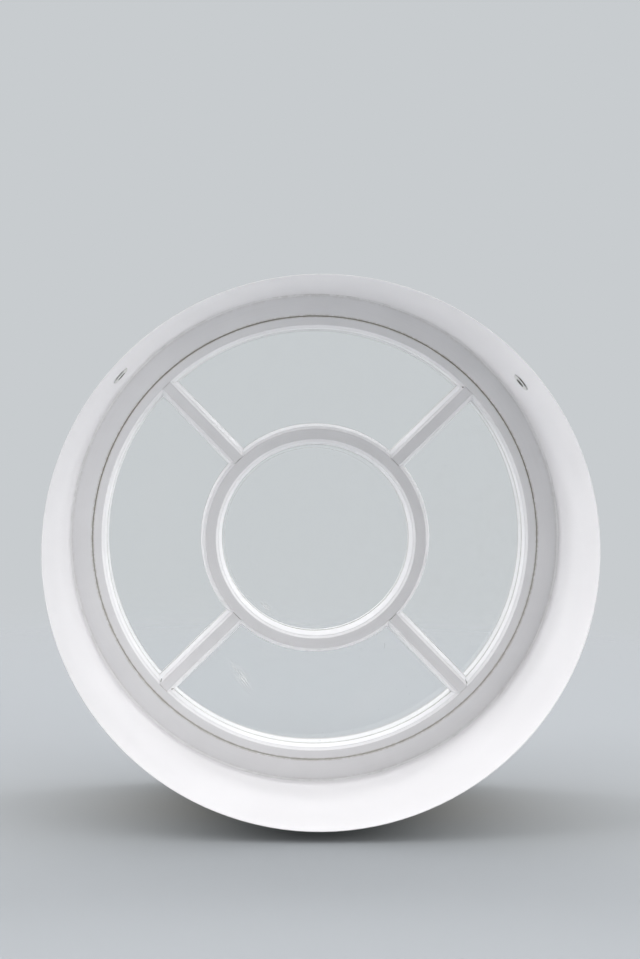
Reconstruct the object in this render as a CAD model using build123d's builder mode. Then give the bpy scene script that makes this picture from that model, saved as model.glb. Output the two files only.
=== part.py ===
"""Round window with a centre ring, four glazing bars and a deep lining.

The window's axis is Y, through the origin. The room is on the -Y side, +Z is up.
Depths are counted from the room face of the frame, positive towards the outside.
"""

import os
from math import asin, cos, degrees, pi, radians, sin, sqrt

from build123d import *

os.makedirs("parts", exist_ok=True)

# Lining: the deep round reveal on the room side
reveal_radius = 450.0
reveal_depth = 310.0
lining_wall = 12.0
lining_tongue = 8.0
lining_edge_flat = 1.0
lining_edge_taper = 120.0

# Outer frame
frame_face_width = 39.2
frame_depth = 92.0
stop_cover = 11.2
groove_clearance = 0.2
groove_wall = 7.8
arris = 0.8
outer_arris = 2.0

# Sash ring
sash_gap = 2.0
sash_face_width = 15.3
sash_depth = 76.0
sash_lip = 6.2

# Centre ring and glazing bars
ring_mid_radius = 193.7
ring_face_width = 19.0
bar_face_width = 18.8
bar_depth = 52.0
bar_lip = 10.6
bar_count = 4
first_bar_angle = 45.0
joint_gap = 0.4
tenon_width = 9.0
tenon_height = 22.0
tenon_length = 7.0
tenon_set_back = 8.0
tenon_clearance = 0.2

# Glazing
pane_set_back = 32.0
pane_thickness = 4.0
pane_edge_gap = 1.5
glass_gap = 0.1
tape_thickness = 2.0
tape_set_in = 0.2

# Glazing beads: a sloped nose, a narrow ledge and a wall down to the glass. The wall slopes
# more on the bars' and the centre ring's beads, which are wider
bead_width = 6.0
bar_bead_width = 10.0
bead_nose_width = 3.4
bead_nose_depth = 5.2
bead_ledge_width = 1.3
bead_ledge_fall = 0.6
bead_clearance = 0.1
mitre_gap = 0.3

# Seals between the sash and the frame, and at the lining
seal_set_in = 0.9
seal_depth = 8.0
gasket_thickness = 2.0
gasket_width = 7.0
caulk_leg = 3.0
caulk_edge = 0.4

# Sash screws with their packers
screw_count = 8
first_screw_angle = 22.5
screw_set_back = 20.0
screw_head_radius = 4.2
screw_head_height = 3.4
screw_radius = 2.2
screw_length = 45.0
screw_tip = 5.0
screw_clearance = 0.1
packer_length = 40.0
packer_height = 20.0
packer_clearance = 0.1

# Setting blocks under the panes
block_length = 30.0
block_angle = 24.0
block_offset = 90.0

# Small recessed lights in the lining
spot_angles = {"right": 40.0, "left": 140.0}
spot_from_room_edge = 152.0
spot_rim_radius = 17.0
spot_rim_height = 2.9
spot_rim_bevel = 1.7
spot_aperture_radius = 8.6
spot_throat_radius = 7.4
spot_throat_depth = 3.0
spot_barrel_radius = 12.5
spot_barrel_wall = 1.5
spot_hole_clearance = 0.5
spot_lens_thickness = 2.0
spot_lens_clearance = 0.1
spot_tail = 2.8
clip_length = 8.0
clip_width = 7.0
clip_thickness = 1.0

# Places that follow from the sizes
room_face = -frame_depth / 2
outer_face = room_face + frame_depth
room_edge = room_face - reveal_depth
frame_outer_radius = reveal_radius + lining_wall + groove_clearance + groove_wall
frame_rebate_radius = reveal_radius - frame_face_width
sash_outer_radius = frame_rebate_radius - sash_gap
stop_radius = sash_outer_radius - stop_cover
stop_face = room_face + sash_depth + gasket_thickness
sash_edge_radius = sash_outer_radius - sash_face_width
sash_lip_radius = sash_edge_radius - sash_lip
ring_inner_radius = ring_mid_radius - ring_face_width / 2
ring_outer_radius = ring_mid_radius + ring_face_width / 2
bar_half = bar_face_width / 2
pane_face = room_face + pane_set_back
pane_back = pane_face + pane_thickness
tape_face = pane_back + glass_gap
lip_face = tape_face + tape_thickness
bar_back = room_face + bar_depth
quarter = 360 / bar_count


def keep(piece, node):
    """Name a finished piece and write its file."""
    piece.part.label = node
    export_step(piece.part, f"parts/{node}.step")


def across(y):
    """Plane across the window's axis at y, with X to the right and Z up."""
    return Plane.XZ.offset(-y)


def direction(angle):
    """Unit vector in the window's plane, anticlockwise from +X as seen from the room."""
    return Vector(cos(radians(angle)), 0, sin(radians(angle)))


def section(*points):
    """Closed outline of radius and depth, to be turned about the window's axis."""
    with BuildSketch() as outline:
        Polygon(*points, align=None)
    return outline.sketch


def light_outline(outer, inner, half, turn):
    """Quarter light between two circles and two bars; half is its distance from each bar's axis."""
    Circle(outer)
    Circle(inner, mode=Mode.SUBTRACT)
    with Locations(Location((0, 0, 0), (0, 0, turn)) * Location((half, half, 0))):
        Rectangle(outer, outer, align=(Align.MIN, Align.MIN), mode=Mode.INTERSECT)


# The lining is one bent board with a feathered room edge, let into a groove of the frame
def spot_plane(angle):
    """Plane on a spot's axis: x runs along the window's axis, y towards it."""
    centre = direction(angle) * reveal_radius + Vector(0, room_edge + spot_from_room_edge, 0)
    return Plane(origin=centre, x_dir=(0, 1, 0), z_dir=direction(angle + 90))


def spot_axis(angle):
    return Axis(spot_plane(angle).origin, direction(angle) * -1)


with BuildPart() as lining:
    outline = section(
        (reveal_radius, room_edge),
        (reveal_radius + lining_edge_flat, room_edge),
        (reveal_radius + lining_wall, room_edge + lining_edge_taper),
        (reveal_radius + lining_wall, room_face + lining_tongue),
        (reveal_radius, room_face + lining_tongue),
    )
    revolve(outline, axis=Axis.Y)
    for angle in spot_angles.values():
        with BuildSketch(Plane(origin=spot_plane(angle).origin, z_dir=direction(angle))):
            Circle(spot_barrel_radius + spot_hole_clearance)
        extrude(amount=2 * lining_wall, both=True, mode=Mode.SUBTRACT)
keep(lining, "lining")

# The outer frame has a deep rebate for the sash and a groove for the lining
with BuildPart() as outer_frame:
    outline = section(
        (frame_outer_radius, room_face),
        (frame_outer_radius, outer_face),
        (stop_radius + outer_arris, outer_face),
        (stop_radius, outer_face - outer_arris),
        (stop_radius, stop_face),
        (frame_rebate_radius, stop_face),
        (frame_rebate_radius, room_face + arris),
        (frame_rebate_radius + arris, room_face),
        (reveal_radius, room_face),
        (reveal_radius, room_face + lining_tongue),
        (reveal_radius + lining_wall + groove_clearance, room_face + lining_tongue),
        (reveal_radius + lining_wall + groove_clearance, room_face),
    )
    revolve(outline, axis=Axis.Y)
    with Locations(across(room_face + screw_set_back)):
        with PolarLocations(sash_outer_radius, screw_count, first_screw_angle):
            Cylinder(
                screw_radius + screw_clearance,
                screw_length - sash_face_width + 2 * screw_clearance,
                rotation=(0, 90, 0),
                align=(Align.CENTER, Align.CENTER, Align.MIN),
                mode=Mode.SUBTRACT,
            )
keep(outer_frame, "outer_frame")

# Fillet of caulk in the corner between the lining and the frame, hollow along its middle
hollow = caulk_edge + (caulk_leg - caulk_edge) * (1 - cos(radians(45)))
with BuildPart() as corner_caulk:
    outline = section(
        (reveal_radius, room_face),
        (reveal_radius, room_face - caulk_leg),
        (reveal_radius - caulk_edge, room_face - caulk_leg),
        (reveal_radius - hollow, room_face - hollow),
        (reveal_radius - caulk_leg, room_face - caulk_edge),
        (reveal_radius - caulk_leg, room_face),
    )
    revolve(outline, axis=Axis.Y)
keep(corner_caulk, "corner_caulk")

# Dark seal that fills the visible gap between the sash and the frame
with BuildPart() as gap_seal:
    outline = section(
        (sash_outer_radius, room_face + seal_set_in),
        (frame_rebate_radius, room_face + seal_set_in),
        (frame_rebate_radius, room_face + seal_set_in + seal_depth),
        (sash_outer_radius, room_face + seal_set_in + seal_depth),
    )
    revolve(outline, axis=Axis.Y)
keep(gap_seal, "gap_seal")

# Compression gasket behind the sash, on the frame's stop
with BuildPart() as rear_gasket:
    outline = section(
        (stop_radius + arris, room_face + sash_depth),
        (stop_radius + arris + gasket_width, room_face + sash_depth),
        (stop_radius + arris + gasket_width, stop_face),
        (stop_radius + arris, stop_face),
    )
    revolve(outline, axis=Axis.Y)
keep(rear_gasket, "rear_gasket")


def tenon(start, length, play, turn, cut=False):
    """Tenon of a bar, or with play the mortise for it, running outwards from the radius start."""
    low = room_face + tenon_set_back - play
    with BuildSketch(across(low)) as outline:
        with Locations(Location((0, 0, 0), (0, 0, turn)) * Location((start, 0, 0))):
            Rectangle(length, tenon_width + 2 * play, align=(Align.MIN, Align.CENTER))
    depth = tenon_height + 2 * play
    extrude(outline.sketch, amount=-depth, mode=Mode.SUBTRACT if cut else Mode.ADD)


# The sash ring carries the glass on its outer lip
with BuildPart() as sash_ring:
    outline = section(
        (sash_edge_radius + arris, room_face),
        (sash_outer_radius - arris, room_face),
        (sash_outer_radius, room_face + arris),
        (sash_outer_radius, room_face + sash_depth),
        (sash_lip_radius + outer_arris, room_face + sash_depth),
        (sash_lip_radius, room_face + sash_depth - outer_arris),
        (sash_lip_radius, lip_face),
        (sash_edge_radius, lip_face),
        (sash_edge_radius, room_face + arris),
    )
    revolve(outline, axis=Axis.Y)
    for number in range(bar_count):
        turn = first_bar_angle + number * quarter
        reach = sash_edge_radius + tenon_length + tenon_clearance
        inside = sash_lip_radius - bar_lip
        tenon(inside, reach - inside, tenon_clearance, turn, cut=True)
    with Locations(across(room_face + screw_set_back)):
        with PolarLocations(sash_lip_radius, screw_count, first_screw_angle):
            Cylinder(
                screw_head_radius + screw_clearance,
                sash_lip,
                rotation=(0, 90, 0),
                align=(Align.CENTER, Align.CENTER, Align.MIN),
                mode=Mode.SUBTRACT,
            )
        with PolarLocations(sash_edge_radius, screw_count, first_screw_angle):
            Cylinder(
                screw_radius + screw_clearance,
                sash_face_width + sash_gap,
                rotation=(0, 90, 0),
                align=(Align.CENTER, Align.CENTER, Align.MIN),
                mode=Mode.SUBTRACT,
            )
            Cone(
                screw_head_radius + screw_clearance,
                screw_radius + screw_clearance,
                screw_head_height,
                rotation=(0, 90, 0),
                align=(Align.CENTER, Align.CENTER, Align.MIN),
                mode=Mode.SUBTRACT,
            )
keep(sash_ring, "sash_ring")

# The centre ring has a lip on both sides for the panes it divides
with BuildPart() as centre_ring:
    outline = section(
        (ring_inner_radius + arris, room_face),
        (ring_outer_radius - arris, room_face),
        (ring_outer_radius, room_face + arris),
        (ring_outer_radius, lip_face),
        (ring_outer_radius + bar_lip, lip_face),
        (ring_outer_radius + bar_lip, bar_back - outer_arris),
        (ring_outer_radius + bar_lip - outer_arris, bar_back),
        (ring_inner_radius - bar_lip + outer_arris, bar_back),
        (ring_inner_radius - bar_lip, bar_back - outer_arris),
        (ring_inner_radius - bar_lip, lip_face),
        (ring_inner_radius, lip_face),
        (ring_inner_radius, room_face + arris),
    )
    revolve(outline, axis=Axis.Y)
    for number in range(bar_count):
        turn = first_bar_angle + number * quarter
        pocket = ring_outer_radius - tenon_length - tenon_clearance
        tenon(pocket, 2 * tenon_length, tenon_clearance, turn, cut=True)
keep(centre_ring, "centre_ring")


def glazing_bar(turn):
    """Bar between the centre ring and the sash, coped to both, with a lip on each side."""
    start = ring_outer_radius + joint_gap
    end = sash_edge_radius - joint_gap
    with BuildPart() as bar:
        for outer, inner, width, low, high in (
            (end, start, bar_face_width, room_face, lip_face),
            (
                sash_lip_radius - joint_gap,
                ring_outer_radius + bar_lip + joint_gap,
                bar_face_width + 2 * bar_lip,
                lip_face,
                bar_back,
            ),
        ):
            with BuildSketch(across(low)):
                Circle(outer)
                Circle(inner, mode=Mode.SUBTRACT)
                with Locations(Location((0, 0, 0), (0, 0, turn))):
                    Rectangle(outer, width, align=(Align.MIN, Align.CENTER), mode=Mode.INTERSECT)
            extrude(amount=-(high - low))
        for face, size in ((room_face, arris), (bar_back, outer_arris)):
            side_edges = (
                bar.edges()
                .filter_by(lambda edge: abs(edge.center().Y - face) < arris / 10)
                .filter_by(GeomType.LINE)
            )
            chamfer(side_edges, size)
        root = joint_gap + bar_half
        tenon(end - root, root + joint_gap + tenon_length, 0, turn)
        tenon(start - joint_gap - tenon_length, root + joint_gap + tenon_length, 0, turn)
    return bar


bar_names = ("bar_upper_right", "bar_upper_left", "bar_lower_left", "bar_lower_right")
for number, node in enumerate(bar_names):
    keep(glazing_bar(first_bar_angle + number * quarter), node)

# Panes, each on a tape against the lips
light_names = ("top", "left", "bottom", "right")

with BuildPart() as pane_centre:
    with BuildSketch(across(pane_face)):
        Circle(ring_inner_radius - pane_edge_gap)
    extrude(amount=-pane_thickness)
keep(pane_centre, "pane_centre")

with BuildPart() as tape_centre:
    with BuildSketch(across(tape_face)):
        Circle(ring_inner_radius - pane_edge_gap)
        Circle(ring_inner_radius - bar_lip + tape_set_in, mode=Mode.SUBTRACT)
    extrude(amount=-tape_thickness)
keep(tape_centre, "tape_centre")


def quarter_pane(turn):
    with BuildPart() as pane:
        with BuildSketch(across(pane_face)):
            light_outline(
                sash_edge_radius - pane_edge_gap,
                ring_outer_radius + pane_edge_gap,
                bar_half + pane_edge_gap,
                turn,
            )
        extrude(amount=-pane_thickness)
    return pane


def quarter_tape(turn):
    with BuildPart() as tape:
        with BuildSketch(across(tape_face)):
            light_outline(
                sash_edge_radius - pane_edge_gap,
                ring_outer_radius + pane_edge_gap,
                bar_half + pane_edge_gap,
                turn,
            )
        extrude(amount=-tape_thickness)
        with BuildSketch(across(tape_face)):
            light_outline(
                sash_lip_radius + tape_set_in,
                ring_outer_radius + bar_lip - tape_set_in,
                bar_half + bar_lip - tape_set_in,
                turn,
            )
        extrude(amount=-tape_thickness, mode=Mode.SUBTRACT)
    return tape


for number, light in enumerate(light_names):
    turn = first_bar_angle + number * quarter
    keep(quarter_pane(turn), f"pane_{light}")
    keep(quarter_tape(turn), f"tape_{light}")


# Glazing beads, mitred in the corners of each light
mitre_shift = mitre_gap / sqrt(2)


def bead_profile(wall, into, width):
    """Bead section at x = wall, growing in the direction into, +1 or -1."""
    rise = [
        (bead_clearance, arris),
        (bead_nose_width, arris + bead_nose_depth),
        (bead_nose_width + bead_ledge_width, arris + bead_nose_depth + bead_ledge_fall),
        (width, pane_set_back - glass_gap),
        (bead_clearance, pane_set_back - glass_gap),
    ]
    Polygon(*[(wall + into * step, room_face + depth) for step, depth in rise], align=None)


def corner(radius, into, circle_offset, bar_offset, turn, second):
    """Point at these offsets from a circle's wall and a bar's, at a light's first bar or its second."""
    height = bar_half + bar_offset
    along = sqrt((radius + into * circle_offset) ** 2 - height**2)
    if second:
        return direction(turn + quarter) * along + direction(turn) * height
    return direction(turn) * along + direction(turn + quarter) * height


def mitre_line(radius, into, width, turn, second):
    """Mitre in plan between a circle's bead and a bar's: it bends at the foot of the ledges.

    It runs past both beads. The walls below the ledges meet on its second stretch.
    """
    ledge = bead_nose_width + bead_ledge_width
    steps = (
        (-ledge, -ledge),
        (ledge, ledge),
        (2 * width - ledge, 2 * bar_bead_width - ledge),
    )
    return [corner(radius, into, *step, turn, second) for step in steps]


def keep_within(points):
    """Cut a bead back to an outline in plan."""
    with BuildSketch(across(room_face)) as outline:
        Polygon(*[(point.X, point.Z) for point in points], align=None)
    extrude(outline.sketch, amount=-pane_set_back, mode=Mode.INTERSECT)


def arc_bead(radius, into, width, turn):
    """Bead on a circle of a quarter light; into is +1 for the ring's, -1 for the sash's."""
    end = turn + quarter
    swing = degrees(mitre_shift / radius)
    first = [point.rotate(Axis.Y, -swing) for point in mitre_line(radius, into, width, turn, False)]
    second = [point.rotate(Axis.Y, swing) for point in mitre_line(radius, into, width, turn, True)]
    middle = direction(turn + quarter / 2) * radius
    before = [point * 2.0**-into for point in (second[0], middle, first[0])]
    with BuildPart() as bead:
        with BuildSketch(Plane(origin=(0, 0, 0), x_dir=direction(end), z_dir=direction(end + 90))):
            bead_profile(radius, into, width)
        revolve(axis=Axis.Y, revolution_arc=quarter)
        keep_within([*first, middle * 2.0**into, *reversed(second), *before])
    return bead


def straight_bead(turn, second):
    """Bead along a bar of a quarter light, on its first bar or its second."""
    along = direction(turn + quarter) if second else direction(turn)
    into = direction(turn) if second else direction(turn + quarter)
    normal = into.cross(Vector(0, 1, 0))
    length = sash_edge_radius if normal.dot(along) > 0 else -sash_edge_radius
    at_ring = mitre_line(ring_outer_radius, 1, bar_bead_width, turn, second)
    at_sash = mitre_line(sash_edge_radius, -1, bead_width, turn, second)
    ring_end = [point + along * mitre_shift for point in at_ring]
    sash_end = [point - along * mitre_shift for point in at_sash]
    with BuildPart() as bead:
        with BuildSketch(Plane(origin=(0, 0, 0), x_dir=into, z_dir=normal)):
            bead_profile(bar_half, 1, bar_bead_width)
        extrude(amount=length)
        keep_within([*ring_end, *reversed(sash_end)])
    return bead


with BuildPart() as bead_centre:
    with BuildSketch(Plane.XY):
        bead_profile(ring_inner_radius, -1, bar_bead_width)
    revolve(axis=Axis.Y)
keep(bead_centre, "bead_centre")

for number, light in enumerate(light_names):
    turn = first_bar_angle + number * quarter
    keep(arc_bead(sash_edge_radius, -1, bead_width, turn), f"bead_{light}_outer")
    keep(arc_bead(ring_outer_radius, 1, bar_bead_width, turn), f"bead_{light}_inner")
    keep(straight_bead(turn, False), f"bead_{light}_first")
    keep(straight_bead(turn, True), f"bead_{light}_second")


# Setting blocks in the edge gap, on the lower side of each pane
def block_on_circle(outer, inner, angle):
    with BuildSketch(across(pane_face)) as outline:
        Circle(outer)
        Circle(inner, mode=Mode.SUBTRACT)
        with Locations(Location((0, 0, 0), (0, 0, angle))):
            Rectangle(outer, block_length, align=(Align.MIN, Align.CENTER), mode=Mode.INTERSECT)
    extrude(outline.sketch, amount=-pane_thickness)


def block_on_bar(bar_angle, side, along):
    away = Align.MIN if side > 0 else Align.MAX
    with BuildSketch(across(pane_face)) as outline:
        with Locations(Location((0, 0, 0), (0, 0, bar_angle)) * Location((along, side * bar_half, 0))):
            Rectangle(block_length, pane_edge_gap, align=(Align.CENTER, away))
    extrude(outline.sketch, amount=-pane_thickness)


with BuildPart() as setting_blocks:
    for swing in (-block_angle, block_angle):
        block_on_circle(ring_inner_radius, ring_inner_radius - pane_edge_gap, 270 + swing)
        block_on_circle(sash_edge_radius, sash_edge_radius - pane_edge_gap, 270 + swing)
    bar_middle = (ring_outer_radius + sash_edge_radius) / 2
    lower_left = first_bar_angle + 2 * quarter
    lower_right = first_bar_angle + 3 * quarter
    block_on_bar(first_bar_angle, 1, bar_middle)
    block_on_bar(first_bar_angle + quarter, -1, bar_middle)
    for shift in (-block_offset / 2, block_offset / 2):
        block_on_bar(lower_left, -1, bar_middle + shift)
        block_on_bar(lower_right, 1, bar_middle + shift)
keep(setting_blocks, "setting_blocks")

# Packers in the gap round each sash screw
with BuildPart() as sash_packers:
    with BuildSketch(across(room_face + screw_set_back - packer_height / 2)):
        with PolarLocations(0, screw_count, first_screw_angle):
            Rectangle(frame_outer_radius, packer_length, align=(Align.MIN, Align.CENTER))
        Circle(frame_rebate_radius - packer_clearance, mode=Mode.INTERSECT)
        Circle(sash_outer_radius + packer_clearance, mode=Mode.SUBTRACT)
    extrude(amount=-packer_height)
    with Locations(across(room_face + screw_set_back)):
        with PolarLocations(sash_edge_radius, screw_count, first_screw_angle):
            Cylinder(
                screw_radius + screw_clearance,
                screw_length,
                rotation=(0, 90, 0),
                align=(Align.CENTER, Align.CENTER, Align.MIN),
                mode=Mode.SUBTRACT,
            )
keep(sash_packers, "sash_packers")

# Countersunk screws from the sash's glazing rebate into the frame
with BuildPart() as sash_screws:
    with Locations(across(room_face + screw_set_back)):
        with PolarLocations(sash_edge_radius + screw_clearance, screw_count, first_screw_angle):
            Cone(
                screw_head_radius,
                screw_radius,
                screw_head_height,
                rotation=(0, 90, 0),
                align=(Align.CENTER, Align.CENTER, Align.MIN),
            )
            Cylinder(
                screw_radius,
                screw_length - screw_tip,
                rotation=(0, 90, 0),
                align=(Align.CENTER, Align.CENTER, Align.MIN),
            )
        with PolarLocations(
            sash_edge_radius + screw_clearance + screw_length - screw_tip, screw_count, first_screw_angle
        ):
            Cone(
                screw_radius,
                screw_radius / 4,
                screw_tip,
                rotation=(0, 90, 0),
                align=(Align.CENTER, Align.CENTER, Align.MIN),
            )
keep(sash_screws, "sash_screws")


# Small lights: a rim with its barrel, a lens, a shallow module and two clips
rim_back = reveal_radius - sqrt(reveal_radius**2 - spot_rim_radius**2)
rim_front = rim_back + spot_rim_height
barrel_end = -lining_wall - clip_thickness
bore_radius = spot_barrel_radius - spot_barrel_wall


def turned_on_spot(angle, points):
    """Turn an outline of radius and inward distance about a spot's axis."""
    with BuildPart() as piece:
        with BuildSketch(spot_plane(angle)):
            with BuildLine():
                Polyline(*points, close=True)
            make_face()
        revolve(axis=spot_axis(angle))
    return piece


def spot_rim(angle):
    points = [
        (spot_aperture_radius, rim_front),
        (spot_rim_radius - spot_rim_bevel, rim_front),
        (spot_rim_radius, rim_front - spot_rim_bevel),
        (spot_rim_radius, rim_back),
        (spot_barrel_radius, rim_back),
        (spot_barrel_radius, barrel_end),
        (bore_radius, barrel_end),
        (bore_radius, -spot_throat_depth),
        (spot_throat_radius, -spot_throat_depth),
    ]
    return turned_on_spot(angle, points)


def spot_lens(angle):
    points = [
        (0, -spot_throat_depth),
        (bore_radius - spot_lens_clearance, -spot_throat_depth),
        (bore_radius - spot_lens_clearance, -spot_throat_depth - spot_lens_thickness),
        (0, -spot_throat_depth - spot_lens_thickness),
    ]
    return turned_on_spot(angle, points)


def spot_module(angle):
    front = -spot_throat_depth - spot_lens_thickness
    fit_radius = bore_radius - spot_lens_clearance
    points = [
        (0, front),
        (fit_radius, front),
        (fit_radius, barrel_end),
        (spot_barrel_radius, barrel_end),
        (spot_barrel_radius, barrel_end - spot_tail),
        (0, barrel_end - spot_tail),
    ]
    return turned_on_spot(angle, points)


def spot_clips(angle):
    """Two leaf clips on the back of the lining, one each way along the window's axis."""
    plane = spot_plane(angle)
    outwards = plane.y_dir * -1
    face = Plane(origin=plane.origin + outwards * lining_wall, x_dir=plane.x_dir, z_dir=outwards)
    with BuildPart() as clips:
        with BuildSketch(face):
            with Locations((spot_barrel_radius, 0)):
                Rectangle(clip_length, clip_width, align=(Align.MIN, Align.CENTER))
            with Locations((-spot_barrel_radius, 0)):
                Rectangle(clip_length, clip_width, align=(Align.MAX, Align.CENTER))
        extrude(amount=clip_thickness)
    return clips


for side, angle in spot_angles.items():
    keep(spot_rim(angle), f"spot_rim_{side}")
    keep(spot_lens(angle), f"spot_lens_{side}")
    keep(spot_module(angle), f"spot_module_{side}")
    keep(spot_clips(angle), f"spot_clips_{side}")
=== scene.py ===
import bpy
import numpy as np
from math import cos, pi, radians, sin
from mathutils import Matrix, Vector


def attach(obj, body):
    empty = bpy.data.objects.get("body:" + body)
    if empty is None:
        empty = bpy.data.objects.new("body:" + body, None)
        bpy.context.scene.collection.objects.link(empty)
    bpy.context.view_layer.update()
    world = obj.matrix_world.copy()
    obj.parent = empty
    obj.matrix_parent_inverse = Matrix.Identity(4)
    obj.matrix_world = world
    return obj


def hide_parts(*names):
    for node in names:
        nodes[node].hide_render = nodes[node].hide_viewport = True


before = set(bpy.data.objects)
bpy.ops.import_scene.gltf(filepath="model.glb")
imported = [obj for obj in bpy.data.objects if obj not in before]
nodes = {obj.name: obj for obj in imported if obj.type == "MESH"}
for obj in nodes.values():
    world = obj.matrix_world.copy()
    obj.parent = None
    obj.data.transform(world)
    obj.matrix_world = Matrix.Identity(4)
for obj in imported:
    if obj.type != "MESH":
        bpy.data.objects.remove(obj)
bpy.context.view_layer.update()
bpy.context.scene.view_settings.view_transform = "Standard"
mm = 0.001
print("frame loaded:", len(nodes), "pieces")

# sizes of the window that the looks follow, in millimetres
window = {
    "roomFace": -46.0,
    "liningRadius": 450.0,
    "coatEdge": 468.6,
    "roomEdge": -356.0,
    "frameInner": 410.8,
    "sashOuter": 408.8,
    "sashEdge": 393.5,
    "sashLip": 387.3,
    "ringOuter": 203.2,
    "ringInner": 184.2,
    "barHalf": 9.4,
    "beadWidth": 6.0,
    "barBeadWidth": 10.0,
    "paneFace": -14.0,
    "paneBack": -10.0,
}


# small helpers for the node trees
def newMaterial(name):
    mat = bpy.data.materials.new(name)
    mat.use_nodes = True
    tree = mat.node_tree
    return mat, tree, tree.nodes["Principled BSDF"]


def addNode(tree, kind, values=None, **settings):
    node = tree.nodes.new(kind)
    for key, value in settings.items():
        setattr(node, key, value)
    for socket, value in (values or {}).items():
        feed(tree, node.inputs[socket], value)
    return node


def feed(tree, socket, value):
    # links an output, or puts a number, colour or vector on the socket itself
    if isinstance(value, bpy.types.NodeSocket):
        tree.links.new(value, socket)
    elif isinstance(value, tuple) and socket.type == "RGBA" and len(value) == 3:
        socket.default_value = (*value, 1.0)
    else:
        socket.default_value = value


def calc(tree, operation, first, second=None, clamp=False):
    node = addNode(tree, "ShaderNodeMath", operation=operation, use_clamp=clamp)
    feed(tree, node.inputs[0], first)
    if second is not None:
        feed(tree, node.inputs[1], second)
    return node.outputs[0]


def vectorCalc(tree, operation, first, second=None, out=0):
    node = addNode(tree, "ShaderNodeVectorMath", operation=operation)
    feed(tree, node.inputs[0], first)
    if second is not None:
        feed(tree, node.inputs[1], second)
    return node.outputs[out]


def ramp(tree, value, low, high, outLow=0.0, outHigh=1.0):
    # value carried from low..high to outLow..outHigh, smooth at both ends
    node = addNode(tree, "ShaderNodeMapRange", interpolation_type="SMOOTHSTEP")
    for socket, number in zip(node.inputs[:5], (value, low, high, outLow, outHigh)):
        feed(tree, socket, number)
    return node.outputs["Result"]


def mixColour(tree, factor, first, second, blend="MIX"):
    node = addNode(tree, "ShaderNodeMix", data_type="RGBA", blend_type=blend)
    for socket, value in zip((node.inputs[0], node.inputs[6], node.inputs[7]), (factor, first, second)):
        feed(tree, socket, value)
    return node.outputs[2]


def noise(tree, vector, scale, detail=3.0, rough=0.5, w=None):
    node = addNode(tree, "ShaderNodeTexNoise", noise_dimensions="3D" if w is None else "4D")
    for socket, value in (("Vector", vector), ("Scale", scale), ("Detail", detail), ("Roughness", rough)):
        feed(tree, node.inputs[socket], value)
    if w is not None:
        feed(tree, node.inputs["W"], w)
    return node.outputs["Fac"]


def splitVector(tree, vector):
    return addNode(tree, "ShaderNodeSeparateXYZ", {"Vector": vector}).outputs


def joinVector(tree, x, y, z):
    return addNode(tree, "ShaderNodeCombineXYZ", {"X": x, "Y": y, "Z": z}).outputs[0]


def objectPlace(tree):
    return addNode(tree, "ShaderNodeTexCoord").outputs["Object"]


def bump(tree, height, strength, distance):
    node = addNode(tree, "ShaderNodeBump", {"Height": height, "Strength": strength, "Distance": distance})
    return node.outputs[0]


def rgb(r, g, b):
    # a colour as the eye's 0 to 255 values, turned to linear light
    def linear(v):
        v = v / 255
        return v / 12.92 if v <= 0.04045 else ((v + 0.055) / 1.055) ** 2.4
    return (linear(r), linear(g), linear(b))


def newGroup(name, inputs, outputs):
    tree = bpy.data.node_groups.new(name, "ShaderNodeTree")
    for label, kind, value in inputs:
        socket = tree.interface.new_socket(name=label, in_out="INPUT", socket_type="NodeSocket" + kind)
        socket.default_value = (*value, 1.0) if kind == "Color" else value
    for label, kind in outputs:
        tree.interface.new_socket(name=label, in_out="OUTPUT", socket_type="NodeSocket" + kind)
    return tree, tree.nodes.new("NodeGroupInput").outputs, tree.nodes.new("NodeGroupOutput").inputs


def useGroup(tree, group, values):
    node = tree.nodes.new("ShaderNodeGroup")
    node.node_tree = group
    for label, value in values.items():
        feed(tree, node.inputs[label], value)
    return node.outputs


# camera, at the photograph's place
view = {
    "place": (-0.0927, -2.4936, 0.2040),
    "yaw": radians(-2.2985),
    "pitch": radians(-2.1985),
    "roll": radians(0.85),
    "lens": 50.0,
}


def aimCamera():
    # looks along yaw and pitch, then rolls about its own line of sight
    yaw, pitch, roll = view["yaw"], view["pitch"], view["roll"]
    ahead = Vector((-sin(yaw) * cos(pitch), cos(yaw) * cos(pitch), sin(pitch)))
    right = Vector((cos(yaw), sin(yaw), 0))
    up = right.cross(ahead)
    side = right * cos(roll) + up * sin(roll)
    top = up * cos(roll) - right * sin(roll)
    data = bpy.data.cameras.new("roomCamera")
    data.lens = view["lens"]
    data.sensor_width = 36.0
    data.clip_start, data.clip_end = 0.05, 60
    camera = bpy.data.objects.new("roomCamera", data)
    bpy.context.scene.collection.objects.link(camera)
    spin = Matrix((side, top, -ahead)).transposed()
    camera.matrix_world = Matrix.Translation(view["place"]) @ spin.to_4x4()
    bpy.context.scene.camera = camera


aimCamera()

# studio: an uneven sky fitted to the photo's tones, and a backdrop that is only seen
studio = {
    "backdrop": rgb(200, 204, 207),
    "floorPaint": rgb(158, 162, 165),
    "floorLevel": -0.4705,
    "floorRadius": 3.2,
    "floorCap": 0.02,
    "floorRings": 24,
    "floorSpokes": 96,
    "floorFade": (1.1, 3.0),
    "roomTint": (1.0, 0.994, 1.0),
    "outerTint": (1.0, 0.994, 1.01),
    "beltEdge": 0.03,
}
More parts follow.
